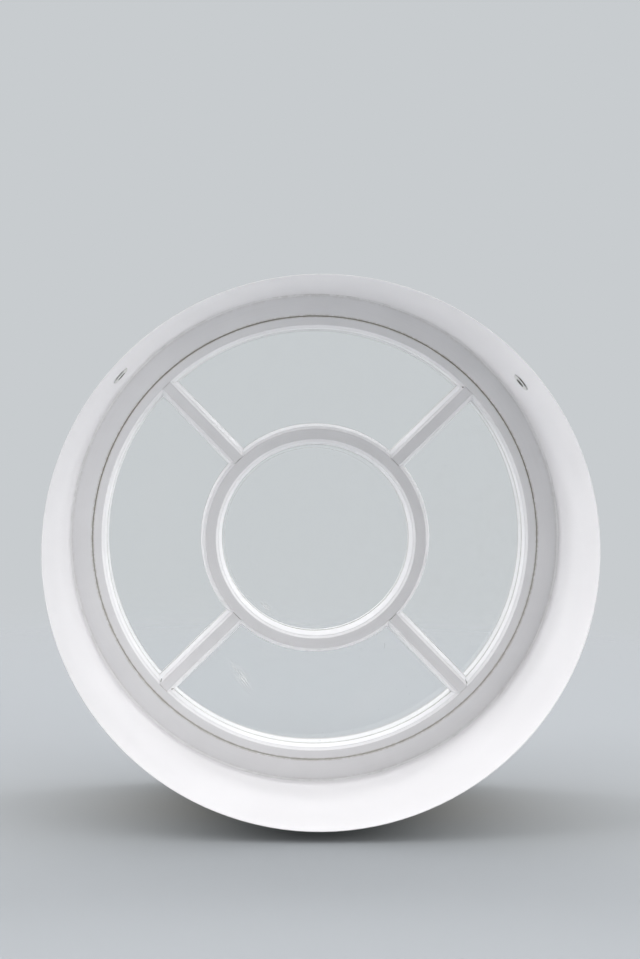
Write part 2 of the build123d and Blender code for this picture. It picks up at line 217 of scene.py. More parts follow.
# belts of light round the window's axis: where each starts and ends along it, its level,
# and how it leans right and up; the levels are fitted, and a plain even sky would be 1 all round
belts = {
    "roomMiddle": {"start": -1.2, "end": -0.65, "level": 0.43, "lean": (0.78, 0.11)},
    "roomInner": {"start": -0.65, "end": -0.4, "level": 1.27, "lean": (0.66, -0.14)},
    "roomOuter": {"start": -0.4, "end": -0.2, "level": 2.50, "lean": (-0.34, -0.04)},
    "roomSide": {"start": -0.2, "end": 0.0, "level": 1.14, "lean": (-0.36, 0.60)},
    "outerSide": {"start": 0.0, "end": 0.12, "level": 1.95, "lean": (0.01, 0.12)},
    "outerRim": {"start": 0.12, "end": 0.25, "level": 0.74, "lean": (0.06, 0.27)},
    "outerInner": {"start": 0.25, "end": 0.45, "level": 3.85, "lean": (0.03, -0.05)},
    "outerMiddle": {"start": 0.45, "end": 1.2, "level": 1.22, "lean": (-0.08, 0.06)},
}


def makeWorld():
    # each belt adds level * (1 + lean . direction), with soft edges along the axis
    world = bpy.data.worlds.new("studioAir")
    bpy.context.scene.world = world
    world.use_nodes = True
    tree = world.node_tree
    tree.nodes.clear()
    direction = addNode(tree, "ShaderNodeTexCoord").outputs["Generated"]
    ahead = splitVector(tree, direction)["Y"]
    edge, level = studio["beltEdge"], 0.0
    for belt in belts.values():
        first = ramp(tree, ahead, belt["start"] - edge, belt["start"] + edge)
        last = ramp(tree, ahead, belt["end"] - edge, belt["end"] + edge, 1.0, 0.0)
        right, up = belt["lean"]
        lean = vectorCalc(tree, "DOT_PRODUCT", direction, (right, 0.0, up), out="Value")
        share = calc(tree, "MULTIPLY", calc(tree, "ADD", lean, 1.0), belt["level"])
        level = calc(tree, "ADD", level, calc(tree, "MULTIPLY", share, calc(tree, "MULTIPLY", first, last)))
    tint = mixColour(tree, ramp(tree, ahead, -0.15, 0.15), studio["roomTint"], studio["outerTint"])
    lit = addNode(tree, "ShaderNodeBackground", {"Color": tint, "Strength": level})
    seen = addNode(tree, "ShaderNodeBackground", {"Color": studio["backdrop"], "Strength": 1.0})
    path = addNode(tree, "ShaderNodeLightPath").outputs
    plain = calc(tree, "MAXIMUM", calc(tree, "MAXIMUM", path["Is Camera Ray"], path["Is Glossy Ray"]),
                 path["Is Transmission Ray"])
    mix = addNode(tree, "ShaderNodeMixShader", {0: plain, 1: lit.outputs[0], 2: seen.outputs[0]})
    addNode(tree, "ShaderNodeOutputWorld", {"Surface": mix.outputs[0]})


def meshPiece(name, points, faces, material, smooth=True):
    # one object at the origin; its place is in its mesh
    mesh = bpy.data.meshes.new(name)
    mesh.from_pydata(np.asarray(points).tolist(), [], [list(f) for f in faces])
    mesh.polygons.foreach_set("use_smooth", [smooth] * len(mesh.polygons))
    mesh.materials.append(material)
    mesh.update()
    piece = bpy.data.objects.new(name, mesh)
    bpy.context.scene.collection.objects.link(piece)
    return piece


def gridFaces(rows, columns, closed):
    # quads of a grid with the second parameter running fastest, closed along the first if it goes round
    spans = rows if closed else rows - 1
    row, column = np.meshgrid(np.arange(spans), np.arange(columns - 1), indexing="ij")
    here, after = row * columns + column, (row + 1) % rows * columns + column
    return np.stack([here, after, after + 1, here + 1], -1).reshape(-1, 4)


def makeFloor():
    # a flat disc in rings: radius and turn are the two parameters
    rings, spokes = studio["floorRings"], studio["floorSpokes"]
    out = np.linspace(studio["floorCap"], studio["floorRadius"], rings)
    turn, radius = np.meshgrid(np.linspace(0, 2 * pi, spokes + 1)[:-1], out, indexing="ij")
    level = np.full_like(radius, studio["floorLevel"])
    points = np.stack([radius * np.cos(turn), radius * np.sin(turn), level], -1).reshape(-1, 3)
    faces = gridFaces(spokes, rings, True)[:, ::-1].tolist() + [list(range(0, spokes * rings, rings))]
    mat, tree, shader = newMaterial("paleFloor")
    feed(tree, shader.inputs["Base Color"], studio["floorPaint"])
    shader.inputs["Roughness"].default_value = 0.9
    shader.inputs["Specular IOR Level"].default_value = 0.1
    far = vectorCalc(tree, "LENGTH", objectPlace(tree), out="Value")
    clear = addNode(tree, "ShaderNodeBsdfTransparent")
    fade = ramp(tree, far, *studio["floorFade"])
    mix = addNode(tree, "ShaderNodeMixShader", {0: fade, 1: shader.outputs[0], 2: clear.outputs[0]})
    feed(tree, tree.nodes["Material Output"].inputs["Surface"], mix.outputs[0])
    meshPiece("paleFloor", points, faces, mat, smooth=False)


makeWorld()
makeFloor()
print("camera, light and floor set")


# shared effects
def makeRingPlace():
    # place about the window's axis: radius, angle-free stroke vector, depth along the axis
    tree, put, out = newGroup("ringPlace", [
        ("Place", "Vector", (0, 0, 0)), ("Along", "Float", 5.0), ("Across", "Float", 800.0)],
        [("Strokes", "Vector"), ("Depth Wave", "Float"), ("Radius", "Float"), ("Depth", "Float")])
    x, y, z = splitVector(tree, put["Place"])
    radius = vectorCalc(tree, "LENGTH", joinVector(tree, x, z, 0.0), out="Value")
    safe = calc(tree, "MAXIMUM", radius, 0.001)
    turnX = calc(tree, "MULTIPLY", calc(tree, "DIVIDE", x, safe), put["Along"])
    turnZ = calc(tree, "MULTIPLY", calc(tree, "DIVIDE", z, safe), put["Along"])
    feed(tree, out["Strokes"], joinVector(tree, turnX, turnZ, calc(tree, "MULTIPLY", radius, put["Across"])))
    feed(tree, out["Depth Wave"], calc(tree, "MULTIPLY", y, put["Across"]))
    feed(tree, out["Radius"], radius)
    feed(tree, out["Depth"], y)
    return tree


# brushed paint on all the joinery: how coarse its marks are and how far they show
brush = {
    "broadScale": 14.0, "fineScale": 1500.0, "fineShare": 0.12, "tornScale": 160.0,
    "speckScale": 55.0, "speckShare": 0.55, "speck": rgb(120, 108, 90),
}
# the primer's tone is set darker than the real primer, as painted shade against the strong sky outside
bareWood = {
    "dark": rgb(176, 160, 134), "pale": rgb(196, 184, 162), "primer": rgb(196, 195, 188),
    "grainScale": 0.35, "patchScale": 9.0,
}


def makeBrushPaint():
    # satin paint laid on with a brush: fine streaks, broad unevenness, grime and painted shade where asked, a
    # few specks
    tree, put, out = newGroup("brushPaint", [
        ("Place", "Vector", (0, 0, 0)), ("Strokes", "Vector", (0, 0, 0)), ("Wave", "Float", 0.0),
        ("Paint", "Color", rgb(242, 242, 240)), ("Grime And Shade", "Color", rgb(176, 170, 156)),
        ("Grime And Shade Share", "Float", 0.0), ("Roughness", "Float", 0.38)],
        [("Color", "Color"), ("Roughness", "Float"), ("Height", "Float")])
    streaks = noise(tree, put["Strokes"], 1.0, 4.0, 0.62, w=put["Wave"])
    broad = noise(tree, put["Place"], brush["broadScale"], 3.0, 0.5)
    fine = noise(tree, put["Place"], brush["fineScale"], 2.0, 0.5)
    tone = calc(tree, "ADD", ramp(tree, streaks, 0.25, 0.75, -0.012, 0.012),
                ramp(tree, broad, 0.3, 0.7, -0.02, 0.012))
    tone = calc(tree, "ADD", tone, 1.0)
    colour = mixColour(tree, 1.0, put["Paint"], joinVector(tree, tone, tone, tone), "MULTIPLY")
    torn = ramp(tree, noise(tree, put["Place"], brush["tornScale"], 4.0, 0.6), 0.3, 0.62)
    ragged = calc(tree, "MULTIPLY", put["Grime And Shade Share"], torn)
    colour = mixColour(tree, ragged, colour, put["Grime And Shade"])
    cells = addNode(tree, "ShaderNodeTexVoronoi", {"Vector": put["Place"], "Scale": brush["speckScale"]})
    chance = ramp(tree, splitVector(tree, cells.outputs["Color"])[0], 0.955, 0.985)
    speck = calc(tree, "MULTIPLY", ramp(tree, cells.outputs["Distance"], 0.016, 0.034, 1.0, 0.0), chance)
    colour = mixColour(tree, calc(tree, "MULTIPLY", speck, brush["speckShare"]), colour, brush["speck"])
    feed(tree, out["Color"], colour)
    rough = calc(tree, "ADD", put["Roughness"], ramp(tree, broad, 0.3, 0.7, -0.05, 0.07))
    feed(tree, out["Roughness"], calc(tree, "ADD", rough, calc(tree, "MULTIPLY", ragged, 0.3), clamp=True))
    height = calc(tree, "ADD", streaks, calc(tree, "MULTIPLY", fine, brush["fineShare"]))
    feed(tree, out["Height"], calc(tree, "ADD", height, calc(tree, "MULTIPLY", speck, 0.8)))
    return tree


def makeBareWood():
    # primed softwood past the coat's edge: long faint grain under a thin grey-white primer
    tree, put, out = newGroup("primedWood", [
        ("Strokes", "Vector", (0, 0, 0)), ("Wave", "Float", 0.0), ("Place", "Vector", (0, 0, 0))],
        [("Color", "Color"), ("Height", "Float")])
    scale = bareWood["grainScale"]
    grain = noise(tree, put["Strokes"], scale, 5.0, 0.65, w=calc(tree, "MULTIPLY", put["Wave"], scale))
    patch = noise(tree, put["Place"], bareWood["patchScale"], 3.0, 0.55)
    wood = mixColour(tree, ramp(tree, grain, 0.3, 0.7), bareWood["dark"], bareWood["pale"])
    cover = calc(tree, "ADD", ramp(tree, patch, 0.35, 0.65, 0.72, 0.92),
                 ramp(tree, grain, 0.3, 0.7, -0.08, 0.08), clamp=True)
    feed(tree, out["Color"], mixColour(tree, cover, wood, bareWood["primer"]))
    feed(tree, out["Height"], grain)
    return tree


ringPlace, brushPaint, primedWood = makeRingPlace(), makeBrushPaint(), makeBareWood()


def near(tree, value, middle, reach):
    # 1 at the middle, falling to 0 at the reach, in metres
    return ramp(tree, calc(tree, "ABSOLUTE", calc(tree, "SUBTRACT", value, middle)), 0.0, reach, 1.0, 0.0)


def setSurface(tree, shader, colour, rough, height, strength=0.35, distance=0.00012):
    # distance is the height of the relief in metres
    feed(tree, shader.inputs["Base Color"], colour)
    feed(tree, shader.inputs["Roughness"], rough)
    feed(tree, shader.inputs["Normal"], bump(tree, height, strength, distance))


# small marks in the corners of the beads: place in the window's plane, half length, turn and reach,
# in metres and degrees
marks = {
    "upperRightDot": {"place": (0.2672, 0.2837), "half": 0.0, "turn": 0.0, "reach": 0.0019,
                      "colour": rgb(96, 92, 84), "share": 0.85},
    "lowerLeftCrack": {"place": (-0.2822, -0.2650), "half": 0.0022, "turn": 78.0, "reach": 0.0013,
                       "colour": rgb(120, 116, 110), "share": 0.8},
    "lowerLeftKnot": {"place": (-0.2608, -0.2822), "half": 0.0012, "turn": -20.0, "reach": 0.0021,
                      "colour": rgb(112, 96, 74), "share": 0.9},
    "lowerRightCrack": {"place": (0.2846, -0.2640), "half": 0.0024, "turn": -72.0, "reach": 0.0012,
                        "colour": rgb(134, 130, 124), "share": 0.7},
}


def turned(tree, x, z, angle):
    # place along and across a line in the window's plane that is turned by an angle in degrees
    turn = radians(angle)
    along = calc(tree, "ADD", calc(tree, "MULTIPLY", x, cos(turn)), calc(tree, "MULTIPLY", z, sin(turn)))
    rise, run = calc(tree, "MULTIPLY", z, cos(turn)), calc(tree, "MULTIPLY", x, sin(turn))
    return along, calc(tree, "SUBTRACT", rise, run)


def fromSpot(tree, x, z, spec):
    # place along and across a mark, from its own middle
    dx = calc(tree, "SUBTRACT", x, spec["place"][0])
    dz = calc(tree, "SUBTRACT", z, spec["place"][1])
    return turned(tree, dx, dz, spec["turn"])


def addMarks(tree, place, colour):
    # each mark is a short line: the distance is taken to its nearest point
    x, _, z = splitVector(tree, place)
    for spec in marks.values():
        along, across = fromSpot(tree, x, z, spec)
        past = calc(tree, "MAXIMUM", calc(tree, "SUBTRACT", calc(tree, "ABSOLUTE", along), spec["half"]), 0.0)
        far = vectorCalc(tree, "LENGTH", joinVector(tree, past, across, 0.0), out="Value")
        share = ramp(tree, far, spec["reach"] * 0.35, spec["reach"], spec["share"], 0.0)
        colour = mixColour(tree, share, colour, spec["colour"])
    return colour


# painted joinery: the rings, bars and beads; endReach is in metres, the depth pairs of the painted shade are
# in millimetres
joinery = {
    "paint": rgb(233, 233, 234),
    # the beads take the face paint made brighter, as painted light from the outside through the glass
    "litBeadPaint": rgb(251, 251, 252),
    "grimeAndShade": rgb(168, 162, 148),
    "rough": 0.36,
    "strokeAlong": 14.0,
    "strokeAcross": 800.0,
    "endReach": 0.0016,
    "endGrime": (0.95, 0.55),
    # multipliers: painted light on the walls behind the glass, painted shade on the outside coat
    "paintedLight": (1.17, 1.17, 1.17),
    "paintedShade": rgb(214, 213, 210),
    "frameShadeDepths": (18.0, 6.0),
    "barShadeDepths": (4.8, 1.0),
}


def paintLightAndShade(tree, depth, colour, start, reach):
    # painted light and painted shade for the uneven sky, not wear: the walls behind the glass, between the
    # beads and the outside coat, are brightened as painted light, and the outside coat is darkened as painted
    # shade; depth in metres, start and reach in millimetres
    paintedLight = mixColour(tree, 1.0, colour, joinery["paintedLight"], "MULTIPLY")
    inner = ramp(tree, depth, (window["paneFace"] + 1) * mm, (window["paneFace"] + 3) * mm)
    share = ramp(tree, depth, start * mm, (start + reach) * mm)
    shadedCoat = mixColour(tree, 1.0, colour, joinery["paintedShade"], "MULTIPLY")
    return mixColour(tree, share, mixColour(tree, inner, colour, paintedLight), shadedCoat)


def ringPaint(name, paint, seams, hidden=None, marked=False, paintedShade=joinery["frameShadeDepths"]):
    # seams: (radius, depth, reach, share) in millimetres where the paint is darkened, partly by settled dust
    # and partly as painted shade in the corners and recesses;
    # hidden: radius past which it is only primed
    mat, tree, shader = newMaterial(name)
    place = objectPlace(tree)
    ring = useGroup(tree, ringPlace, {"Place": place, "Across": joinery["strokeAcross"]})
    grimeAndShade = 0.0
    # each seam darkens the paint near it: settled dust, with painted shade in the corner
    for radius, depth, reach, share in seams:
        off = calc(tree, "ADD", calc(tree, "POWER", calc(tree, "SUBTRACT", ring["Radius"], radius * mm), 2.0),
                   calc(tree, "POWER", calc(tree, "SUBTRACT", ring["Depth"], depth * mm), 2.0))
        here = ramp(tree, calc(tree, "SQRT", off), 0.0, reach * mm, share, 0.0)
        grimeAndShade = calc(tree, "MAXIMUM", grimeAndShade, here)
    coat = useGroup(tree, brushPaint, {
        "Place": place, "Strokes": ring["Strokes"], "Wave": ring["Depth Wave"], "Paint": paint,
        "Grime And Shade": joinery["grimeAndShade"], "Grime And Shade Share": grimeAndShade, "Roughness": joinery["rough"]})
    colour, height, rough = coat["Color"], coat["Height"], coat["Roughness"]
    if marked:
        colour = addMarks(tree, place, colour)
    colour = paintLightAndShade(tree, ring["Depth"], colour, *paintedShade)
    if hidden:
        bare = useGroup(tree, primedWood, {
            "Strokes": ring["Strokes"], "Wave": ring["Depth Wave"], "Place": place})
        wander = ramp(tree, noise(tree, place, 60.0), 0.3, 0.7, -0.0006, 0.0006)
        edge = calc(tree, "ADD", ring["Radius"], wander)
        share = ramp(tree, edge, (hidden - 0.6) * mm, (hidden + 0.6) * mm)
        colour = mixColour(tree, share, colour, bare["Color"])
        rough = calc(tree, "ADD", rough, calc(tree, "MULTIPLY", share, 0.35), clamp=True)
    setSurface(tree, shader, colour, rough, height)
    return mat


def barPaint(name, angle, paint, marked=False):
    # strokes run along the bar; dust sits where its ends meet the ring and the sash, more on the lower bars
    mat, tree, shader = newMaterial(name)
    place = objectPlace(tree)
    x, y, z = splitVector(tree, place)
    along, across = turned(tree, x, z, angle)
    strokes = joinVector(tree, calc(tree, "MULTIPLY", along, joinery["strokeAlong"]),
                         calc(tree, "MULTIPLY", across, joinery["strokeAcross"]), 3.0)
    radius = vectorCalc(tree, "LENGTH", joinVector(tree, x, z, 0.0), out="Value")
    ends = calc(tree, "MAXIMUM", near(tree, radius, window["sashEdge"] * mm, joinery["endReach"]),
                near(tree, radius, window["ringOuter"] * mm, joinery["endReach"]))
    grimeAndShade = calc(tree, "MULTIPLY", ends, ramp(tree, z, -0.12, 0.12, *joinery["endGrime"]))
    coat = useGroup(tree, brushPaint, {
        "Place": place, "Strokes": strokes, "Paint": paint, "Grime And Shade": joinery["grimeAndShade"],
        "Wave": calc(tree, "MULTIPLY", y, joinery["strokeAcross"]),
        "Grime And Shade Share": grimeAndShade, "Roughness": joinery["rough"]})
    colour = addMarks(tree, place, coat["Color"]) if marked else coat["Color"]
    colour = paintLightAndShade(tree, y, colour, *joinery["barShadeDepths"])
    setSurface(tree, shader, colour, coat["Roughness"], coat["Height"])
    return mat


def dress(material, *names):
    for name in names:
        mesh = nodes[name].data
        mesh.materials.clear()
        mesh.materials.append(material)


face, glassLine = window["roomFace"], window["paneFace"]
lights = ("top", "left", "bottom", "right")
dress(ringPaint("framePaint", joinery["paint"], [
    (window["frameInner"], face, 3.5, 0.5), (window["liningRadius"], face, 9.0, 0.25)],
    hidden=window["coatEdge"]), "outer_frame")
dress(ringPaint("sashPaint", joinery["paint"], [
    (window["sashOuter"], face, 3.0, 0.5), (window["sashEdge"], face + 2, 2.0, 0.35),
    (window["sashLip"], window["paneBack"] + 2, 3.0, 0.25)]), "sash_ring")
dress(ringPaint("centreRingPaint", joinery["paint"], [
    (window["ringOuter"], face + 2, 2.0, 0.3), (window["ringInner"], face + 2, 2.0, 0.3)],
    paintedShade=joinery["barShadeDepths"]), "centre_ring")
beadWidth, barBeadWidth = window["beadWidth"], window["barBeadWidth"]
dress(ringPaint("sashBeadPaint", joinery["litBeadPaint"], [
    (window["sashEdge"], face, 1.6, 0.4), (window["sashEdge"] - beadWidth, glassLine, 2.0, 0.2)],
    marked=True),
    *[f"bead_{light}_outer" for light in lights])
dress(ringPaint("ringBeadPaint", joinery["litBeadPaint"], [
    (window["ringOuter"], face, 1.4, 0.35), (window["ringOuter"] + barBeadWidth, glassLine, 1.6, 0.25)]),
    *[f"bead_{light}_inner" for light in lights])
dress(ringPaint("centreBeadPaint", joinery["litBeadPaint"], [
    (window["ringInner"], face, 1.4, 0.35), (window["ringInner"] - barBeadWidth, glassLine, 1.6, 0.25)]),
    "bead_centre")
rising = barPaint("risingBarPaint", 45, joinery["paint"])
falling = barPaint("fallingBarPaint", 135, joinery["paint"])
dress(rising, "bar_upper_right", "bar_lower_left")
dress(falling, "bar_upper_left", "bar_lower_right")
risingBead = barPaint("risingBeadPaint", 45, joinery["litBeadPaint"], marked=True)
fallingBead = barPaint("fallingBeadPaint", 135, joinery["litBeadPaint"], marked=True)
dress(risingBead, "bead_top_first", "bead_bottom_first", "bead_left_second", "bead_right_second")
dress(fallingBead, "bead_top_second", "bead_bottom_second", "bead_left_first", "bead_right_first")
print("joinery painted")

# lining: rolled matt paint inside, bare board outside
lining = {
    "paint": rgb(249, 248, 249), "rough": 0.55, "stipple": 650.0, "caulkEdgeLine": rgb(150, 148, 143),
    # the board and primer tones are set darker than the real ones, as painted shade against the strong sky
    # outside
    "board": rgb(186, 167, 136), "paleBoard": rgb(202, 186, 158), "primer": rgb(204, 203, 196),
    "primed": (110.0, 150.0), "boardFrom": (1.3, 2.0),
}
caulk = {
    "leg": 3.0, "least": 2.2, "most": 4.2, "thin": 0.4, "sunk": 0.05, "steps": 420, "rows": 9,
    "colour": rgb(240, 240, 240), "soilAndShadow": rgb(180, 178, 172), "soilShare": 0.28,
    # the top span and the share of its extra dark patches, which are painted shadow of the ragged lumps there
    "top": (435.0, 445.5), "topShadowShare": 0.3,
}


def liningPaint():
    # primed and boardFrom are in millimetres, from the room edge and from the inner radius
    mat, tree, shader = newMaterial("liningPaint")
    place = objectPlace(tree)
    ring = useGroup(tree, ringPlace, {"Place": place, "Along": 9.0, "Across": 60.0})
    stipple = noise(tree, place, lining["stipple"], 2.0, 0.45)
    broad = noise(tree, place, 5.0, 3.0, 0.5)
    tone = calc(tree, "ADD", ramp(tree, broad, 0.3, 0.7, 0.975, 1.0),
                ramp(tree, stipple, 0.3, 0.7, -0.006, 0.006))
    colour = mixColour(tree, 1.0, lining["paint"], joinVector(tree, tone, tone, tone), "MULTIPLY")
    # a thin grey line on the lining along the caulk's edge, in patches
    presence = ramp(tree, noise(tree, place, 3.5, 2.0, 0.5), 0.42, 0.62)
    caulkEdgeLine = near(tree, ring["Depth"], (window["roomFace"] - caulk["leg"] - 0.3) * mm, 0.0009)
    caulkEdgeLine = calc(tree, "MULTIPLY", caulkEdgeLine, calc(tree, "MULTIPLY", presence, 0.55))
    colour = mixColour(tree, caulkEdgeLine, colour, lining["caulkEdgeLine"])
    # the outer side shows the bent board's long grain, primed over its room end
    grain = noise(tree, ring["Strokes"], 1.0, 5.0, 0.6, w=ring["Depth Wave"])
    board = mixColour(tree, ramp(tree, grain, 0.3, 0.7), lining["board"], lining["paleBoard"])
    first, last = ((window["roomEdge"] + past) * mm for past in lining["primed"])
    primer = ramp(tree, ring["Depth"], first, last, 0.85, 0.0)
    board = mixColour(tree, primer, board, lining["primer"])
    first, last = ((window["liningRadius"] + past) * mm for past in lining["boardFrom"])
    outside = ramp(tree, ring["Radius"], first, last)
    colour = mixColour(tree, outside, colour, board)
    rough = calc(tree, "ADD", lining["rough"], calc(tree, "MULTIPLY", outside, 0.2))
    rough = calc(tree, "ADD", rough, ramp(tree, broad, 0.3, 0.7, -0.04, 0.05))
    height = calc(tree, "ADD", calc(tree, "MULTIPLY", stipple, 0.6),
                  calc(tree, "MULTIPLY", grain, calc(tree, "MULTIPLY", outside, 0.8)))
    setSurface(tree, shader, colour, rough, height, 0.3, 0.0002)
    return mat


dress(liningPaint(), "lining")


def caulkSkin():
    # dragged along the corner by finger and soiled in patches; the extra dark patches at the top are painted
    # shadow of its ragged lumps
    mat, tree, shader = newMaterial("caulkSkin")
    place = objectPlace(tree)
    ring = useGroup(tree, ringPlace, {"Place": place, "Along": 30.0, "Across": 500.0})
    drag = noise(tree, ring["Strokes"], 1.0, 3.0, 0.6, w=ring["Depth Wave"])
    soilAndShadow = ramp(tree, noise(tree, place, 35.0, 4.0, 0.6), 0.45, 0.75, 0.0, caulk["soilShare"])
    first, last = (up * mm for up in caulk["top"])
    top = ramp(tree, splitVector(tree, place)["Z"], first, last)
    # painted shadow: extra dark patches at the top, where the bead is ragged and lumpy
    topShadow = ramp(tree, noise(tree, place, 90.0, 2.0, 0.5), 0.45, 0.6, 0.0, caulk["topShadowShare"])
    soilAndShadow = calc(tree, "MAXIMUM", soilAndShadow, calc(tree, "MULTIPLY", top, topShadow))
    colour = mixColour(tree, soilAndShadow, caulk["colour"], caulk["soilAndShadow"])
    setSurface(tree, shader, colour, ramp(tree, drag, 0.3, 0.7, 0.42, 0.6), drag, 0.35, 0.0003)
    return mat


# caulk between the lining and the frame: a hollow bead of uneven width, smoothed by finger
def makeCaulk():
    # leg(turn) is the mean leg plus slow waves, two lumps and a ragged stretch at the top;
    # each section is a quarter hollow between two short edges
    turn = np.linspace(0, 2 * pi, caulk["steps"] + 1)[:-1]
    waves = 0.16 * np.sin(3 * turn + 0.8) + 0.13 * np.sin(7 * turn + 2.1)
    waves += 0.12 * np.sin(17 * turn + 0.3) + 0.08 * np.sin(41 * turn)
    lump = 0.9 * np.exp(-((turn - radians(97)) / 0.05) ** 2)
    lump += 0.8 * np.exp(-((turn - radians(26)) / 0.04) ** 2)
    ragged = 0.35 * np.sin(90 * turn) + 0.25 * np.sin(61 * turn + 1.3)
    ragged *= np.exp(-((turn - radians(90)) / 0.16) ** 2)
    leg = np.clip(caulk["leg"] + waves + lump + ragged, caulk["least"], caulk["most"])[:, None]
    sweep = np.linspace(0, pi / 2, caulk["rows"])[None, :]
    hollow = leg - caulk["thin"] - 0.12 * (1 + np.sin(5 * turn + 1))[:, None] * np.sin(2 * sweep)
    radius = window["liningRadius"] - leg + hollow * np.cos(sweep)
    depth = window["roomFace"] - leg + hollow * np.sin(sweep)
    wallRadius = np.full_like(leg, window["liningRadius"] + caulk["sunk"])
    wallDepth = np.full_like(leg, window["roomFace"] + caulk["sunk"])
    radius = np.concatenate([wallRadius, wallRadius, radius, window["liningRadius"] - leg], 1)
    depth = np.concatenate([wallDepth, window["roomFace"] - leg, depth, wallDepth], 1)
    points = np.stack([radius * np.cos(turn)[:, None], depth, radius * np.sin(turn)[:, None]], -1) * mm
    columns = points.shape[1]
    row, column = np.meshgrid(np.arange(len(turn)), np.arange(columns), indexing="ij")
    here, after = row * columns, (row + 1) % len(turn) * columns
    across = (column + 1) % columns
    faces = np.stack([here + column, here + across, after + across, after + column], -1)
    piece = meshPiece("caulkBead", points.reshape(-1, 3), faces.reshape(-1, 4), caulkSkin())
    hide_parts("corner_caulk")
    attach(piece, "root")


makeCaulk()
print("lining and caulk done")


# rubber, tape, plastic and metal of the small pieces: two near tones, how coarse the texture is,
# how rough, how deep in metres, and 1 for metal
stuffs = {
    "gasketRubber": {"tones": (rgb(46, 45, 43), rgb(66, 64, 60)), "scale": 90.0, "rough": 0.75,
                     "depth": 0.0003, "metal": 0.0, "nodes": ["rear_gasket"]},
    "foamTape": {"tones": (rgb(232, 232, 228), rgb(214, 213, 206)), "scale": 900.0, "rough": 0.9,
                 "depth": 0.0004, "metal": 0.0,
                 "nodes": ["tape_centre", *[f"tape_{light}" for light in lights]]},
    "packerPlastic": {"tones": (rgb(66, 78, 110), rgb(80, 92, 122)), "scale": 200.0, "rough": 0.5,
                      "depth": 0.0001, "metal": 0.0, "nodes": ["setting_blocks", "sash_packers"]},
    "zincScrew": {"tones": (rgb(196, 192, 182), rgb(170, 167, 160)), "scale": 400.0, "rough": 0.34,
                  "depth": 0.00005, "metal": 1.0, "nodes": ["sash_screws"]},
    "springSteel": {"tones": (rgb(150, 150, 148), rgb(126, 126, 124)), "scale": 300.0, "rough": 0.36,
                    "depth": 0.00005, "metal": 1.0, "nodes": ["spot_clips_right", "spot_clips_left"]},
    "castAlloy": {"tones": (rgb(150, 150, 148), rgb(128, 128, 126)), "scale": 700.0, "rough": 0.5,
                  "depth": 0.0002, "metal": 1.0, "nodes": ["spot_module_right", "spot_module_left"]},
    "spotLens": {"tones": (rgb(62, 60, 56), rgb(84, 80, 72)), "scale": 250.0, "rough": 0.16,
                 "depth": 0.00005, "metal": 0.0, "nodes": ["spot_lens_right", "spot_lens_left"]},
}


def smallMatter(name, stuff):
    # one moulded, cast or extruded stuff: its two tones in clouds, a fine texture and its own sheen
    mat, tree, shader = newMaterial(name)
    place = objectPlace(tree)
    cloud = noise(tree, place, stuff["scale"], 4.0, 0.6)
    fine = noise(tree, place, stuff["scale"] * 9, 2.0, 0.5)
    colour = mixColour(tree, ramp(tree, cloud, 0.35, 0.68), *stuff["tones"])
    rough = ramp(tree, cloud, 0.3, 0.7, stuff["rough"] - 0.06, stuff["rough"] + 0.08)
    height = calc(tree, "ADD", cloud, calc(tree, "MULTIPLY", fine, 0.5))
    setSurface(tree, shader, colour, rough, height, 0.4, stuff["depth"])
    shader.inputs["Metallic"].default_value = stuff["metal"]
    return mat


for stuffName, stuff in stuffs.items():
    dress(smallMatter(stuffName, stuff), *stuff["nodes"])


# spots: a white coat, grey painted shadow round the rim's foot and grey painted shade inside the aperture;
# sizes in millimetres
spot = {
    "coat": rgb(234, 234, 232), "coatShade": rgb(222, 222, 220), "tube": rgb(190, 190, 188),
    "apertureShade": rgb(128, 126, 122), "gasket": rgb(110, 108, 104), "paleFootShadow": rgb(158, 157, 154),
    "angle": 40.0, "depth": -204.0, "gasketTop": 2.2, "barrel": 12.7, "aperture": 8.6,
    "shadowSides": (6.0, 12.8), "shadowSideShare": 0.35,
}


